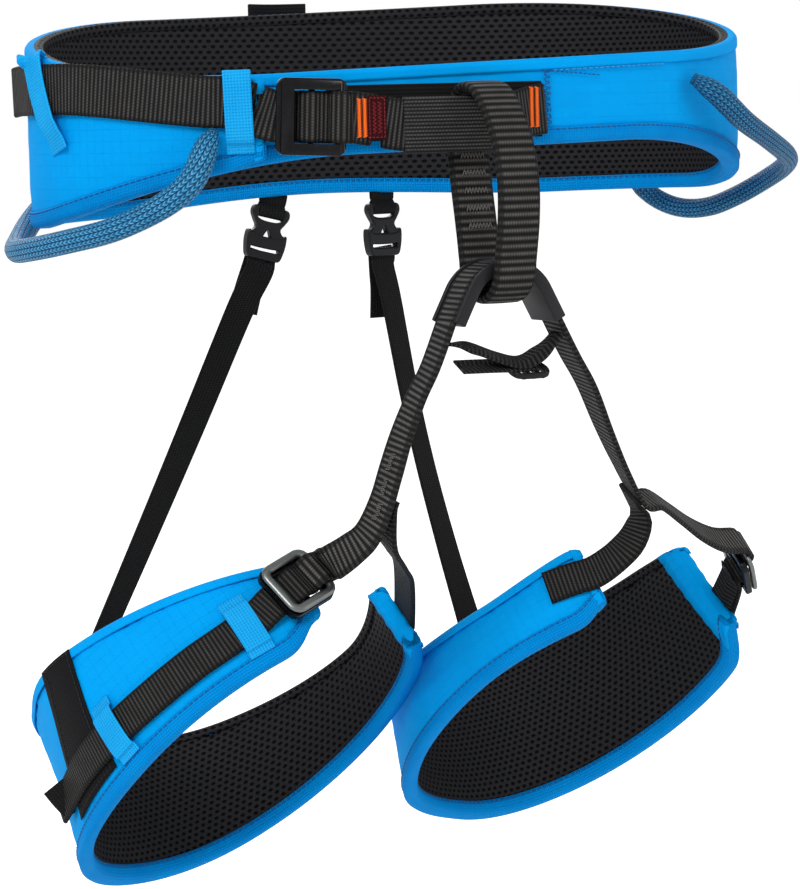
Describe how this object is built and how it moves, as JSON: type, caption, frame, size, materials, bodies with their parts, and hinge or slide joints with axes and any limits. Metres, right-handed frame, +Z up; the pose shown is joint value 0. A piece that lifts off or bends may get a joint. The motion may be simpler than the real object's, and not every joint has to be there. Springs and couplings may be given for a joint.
{
  "type": "climbing harness",
  "caption": "Padded climbing sit harness: waist belt with slide buckle, belay loop, leg loops on a guarded webbing ring, elastic risers, release clips and gear loops.",
  "frame": {"origin": "centre of the waist opening at the mid height of the belt front", "axes": "+Z up along the wearer's body and out through the waist opening, -Y to the wearer's front, +X to the wearer's left"},
  "size_m": [0.3901, 0.2548, 0.4091],
  "materials": {
    "shell_fabric": "matt woven nylon",
    "foam": "closed-cell foam",
    "mesh_lining": "open mesh",
    "edge_tape": "matt stretch tape with a dark stitch line",
    "load_webbing": "plain woven",
    "ribbed_webbing": "cross-ribbed woven",
    "marked_webbing": "dark webbing with grey ribs",
    "black_tape": "matt",
    "elastic_tape": "ribbed elastic",
    "dark_anodised": "dark glossy anodised",
    "grey_anodised": "gunmetal anodised",
    "black_plastic": "satin",
    "guard_plastic": "satin, moulded",
    "right_braid": "braided sleeve",
    "left_braid": "braided sleeve",
    "label": "smooth, blank"
  },
  "bodies": {
    "waist_belt": {"waist_cover": "shell_fabric", "waist_foam": "foam", "waist_lining": "mesh_lining", "waist_top_binding": "edge_tape", "waist_bottom_binding": "edge_tape", "waist_webbing": "load_webbing", "buckle_anchor": "load_webbing", "waist_strap": "ribbed_webbing", "tie_in_protector": "marked_webbing", "tie_in_patch": "black_tape", "front_keeper": "elastic_tape", "side_keeper": "elastic_tape", "waist_buckle_base": "dark_anodised", "haul_loop": "black_tape", "right_rear_tab": "black_tape", "left_rear_tab": "black_tape"},
    "waist_buckle_frame": {"waist_buckle_frame": "dark_anodised"},
    "right_gear_loop": {"right_gear_loop": "right_braid"},
    "left_gear_loop": {"left_gear_loop": "left_braid"},
    "belay_loop": {"belay_loop": "marked_webbing"},
    "right_riser": {"right_clip_socket": "black_plastic", "right_riser": "black_tape"},
    "left_riser": {"left_clip_socket": "black_plastic", "left_riser": "black_tape"},
    "right_hook": {"right_clip_hook": "black_plastic", "right_riser_tail": "black_tape"},
    "left_hook": {"left_clip_hook": "black_plastic", "left_riser_tail": "black_tape"},
    "legs": {"ring_guard": "guard_plastic", "leg_webbing": "marked_webbing", "cross_strap": "black_tape", "cross_buckle": "black_plastic", "right_leg_cover": "shell_fabric", "right_leg_foam": "foam", "right_leg_lining": "mesh_lining", "right_leg_top_binding": "edge_tape", "right_leg_bottom_binding": "edge_tape", "right_leg_label": "label", "right_leg_anchor": "load_webbing", "right_leg_strap": "ribbed_webbing", "right_leg_stopper": "black_tape", "right_leg_keepers": "elastic_tape", "right_inner_strap": "load_webbing", "right_leg_buckle_base": "dark_anodised", "left_leg_cover": "shell_fabric", "left_leg_foam": "foam", "left_leg_lining": "mesh_lining", "left_leg_top_binding": "edge_tape", "left_leg_bottom_binding": "edge_tape", "left_leg_anchor": "load_webbing", "left_leg_strap": "ribbed_webbing", "left_leg_stopper": "black_tape", "left_leg_keepers": "elastic_tape", "left_inner_strap": "load_webbing", "left_leg_buckle_base": "dark_anodised"},
    "right_leg_buckle_frame": {"right_leg_buckle_frame": "grey_anodised"},
    "left_leg_buckle_frame": {"left_leg_buckle_frame": "grey_anodised"}
  },
  "joints": [
    {"name": "waist_buckle_tilt", "type": "hinge", "parent": "waist_belt", "child": "waist_buckle_frame", "pos_m": [-0.07885, -0.10101, -0.00257], "axis": [0.0446, -0.0152, 0.9989], "range_deg": [0, 25]},
    {"name": "belay_loop_swing", "type": "hinge", "parent": "waist_belt", "child": "belay_loop", "pos_m": [-0.018, -0.1105, 0.004], "axis": [-1, 0, 0], "range_deg": [0, 10]},
    {"name": "legs_swing", "type": "hinge", "parent": "belay_loop", "child": "legs", "pos_m": [-0.018, -0.123, -0.0655], "axis": [-1, 0, 0], "range_deg": [-9.6, 0]},
    {"name": "right_riser_swing", "type": "hinge", "parent": "waist_belt", "child": "right_riser", "pos_m": [-0.01714, 0.0983, -0.047], "axis": [-1, 0, 0], "range_deg": [0, 3.4]},
    {"name": "left_riser_swing", "type": "hinge", "parent": "waist_belt", "child": "left_riser", "pos_m": [0.04231, 0.0957, -0.047], "axis": [-1, 0, 0], "range_deg": [0, 3.5]},
    {"name": "right_clip_release", "type": "slide", "parent": "right_riser", "child": "right_hook", "axis": [-0.2419, 0, -0.9703], "range_m": [0, 0.009], "deforming": ["right_riser"]},
    {"name": "left_clip_release", "type": "slide", "parent": "left_riser", "child": "left_hook", "axis": [0, 0, -1], "range_m": [0, 0.009], "deforming": ["left_riser"]},
    {"name": "right_leg_buckle_tilt", "type": "hinge", "parent": "legs", "child": "right_leg_buckle_frame", "pos_m": [-0.08785, -0.08126, -0.19565], "axis": [-0.3792, 0.636, 0.6721], "range_deg": [0, 25]},
    {"name": "left_leg_buckle_tilt", "type": "hinge", "parent": "legs", "child": "left_leg_buckle_frame", "pos_m": [0.14759, -0.05623, -0.2084], "axis": [0.0171, -0.7453, -0.6665], "range_deg": [0, 25]},
    {"name": "right_gear_loop_lift", "type": "hinge", "parent": "waist_belt", "child": "right_gear_loop", "pos_m": [-0.13005, -0.06892, -0.0085], "axis": [-0.073, 0.9847, -0.158], "range_deg": [0, 20]},
    {"name": "left_gear_loop_lift", "type": "hinge", "parent": "waist_belt", "child": "left_gear_loop", "pos_m": [0.10532, -0.08226, 0.0155], "axis": [-0.3404, -0.8852, 0.3172], "range_deg": [0, 20]}
  ],
  "couplings": [
    {"joint": "legs_swing", "follows": "belay_loop_swing", "ratio": -0.95},
    {"joint": "right_riser_swing", "follows": "belay_loop_swing", "ratio": 0.331},
    {"joint": "left_riser_swing", "follows": "belay_loop_swing", "ratio": 0.3475}
  ]
}
